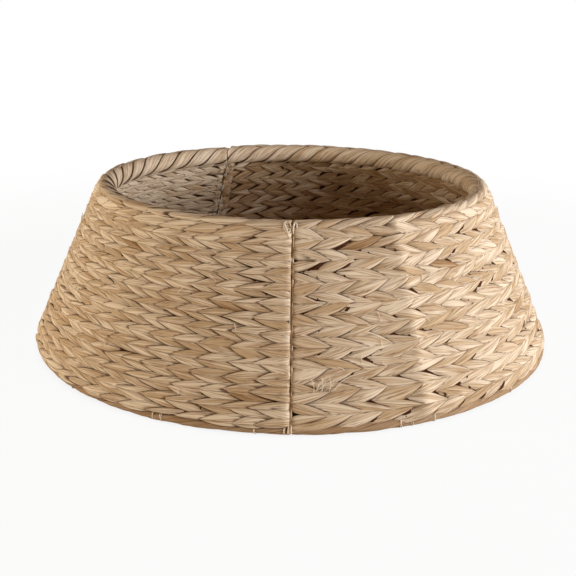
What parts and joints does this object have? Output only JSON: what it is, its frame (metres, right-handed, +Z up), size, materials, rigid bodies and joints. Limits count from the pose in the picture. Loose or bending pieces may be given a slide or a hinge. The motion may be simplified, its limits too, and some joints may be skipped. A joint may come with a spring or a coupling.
{
  "type": "tree collar",
  "caption": "Low cone of twined plant fibre on wire frames, with a front seam, a folding flap, hook-and-loop tabs and a back hinge, to stand round a tree's base.",
  "frame": {"origin": "on the cone's axis, on the floor that the collar stands on", "axes": "+Z up the cone's axis; the front seam faces -Y; the flap and the right panel are on the +X side"},
  "size_m": [0.7011, 0.7019, 0.2159],
  "materials": {
    "weave_strand": "matte",
    "rim_strand": "matte",
    "binding_strand": "matte",
    "frame_wire": "satin",
    "ring_wire": "satin",
    "tab_tape": "matte",
    "hook_tape": "matte",
    "loop_tape": "matte"
  },
  "bodies": {
    "right_panel": {"right_wire_frame": "frame_wire", "right_weave": "weave_strand", "right_rim_braid": "rim_strand", "right_bottom_binding": "binding_strand", "fold_lower_ring": "ring_wire", "fold_middle_ring": "ring_wire", "fold_upper_ring": "ring_wire", "swing_lower_ring": "ring_wire", "swing_middle_ring": "ring_wire", "swing_upper_ring": "ring_wire"},
    "left_panel": {"left_wire_frame": "frame_wire", "left_weave": "weave_strand", "left_rim_braid": "rim_strand", "left_rim_end_wrap": "rim_strand", "left_bottom_binding": "binding_strand", "lower_tab_loop_patch": "loop_tape", "upper_tab_loop_patch": "loop_tape"},
    "flap": {"flap_wire_frame": "frame_wire", "flap_weave": "weave_strand", "flap_rim_braid": "rim_strand", "flap_rim_end_wrap": "rim_strand", "flap_bottom_binding": "binding_strand", "lower_tab_base": "tab_tape", "upper_tab_base": "tab_tape"},
    "lower_tab": {"lower_tab_strap": "tab_tape", "lower_tab_hook_patch": "hook_tape"},
    "upper_tab": {"upper_tab_strap": "tab_tape", "upper_tab_hook_patch": "hook_tape"}
  },
  "joints": [
    {"name": "left_panel_swing", "type": "hinge", "parent": "right_panel", "child": "left_panel", "pos_m": [-0.13065, 0.27148, 0.10487], "axis": [-0.1771, 0.3679, -0.9128], "range_deg": [0, 120]},
    {"name": "flap_fold", "type": "hinge", "parent": "right_panel", "child": "flap", "pos_m": [0.13065, -0.27148, 0.10487], "axis": [0.1771, -0.3679, -0.9128], "range_deg": [0, 110]},
    {"name": "lower_tab_peel", "type": "hinge", "parent": "flap", "child": "lower_tab", "pos_m": [0.003, -0.31181, 0.04695], "axis": [0, -0.4083, -0.9128], "range_deg": [0, 90]},
    {"name": "upper_tab_peel", "type": "hinge", "parent": "flap", "child": "upper_tab", "pos_m": [0.003, -0.26511, 0.15134], "axis": [0, -0.4083, -0.9128], "range_deg": [0, 90]}
  ]
}
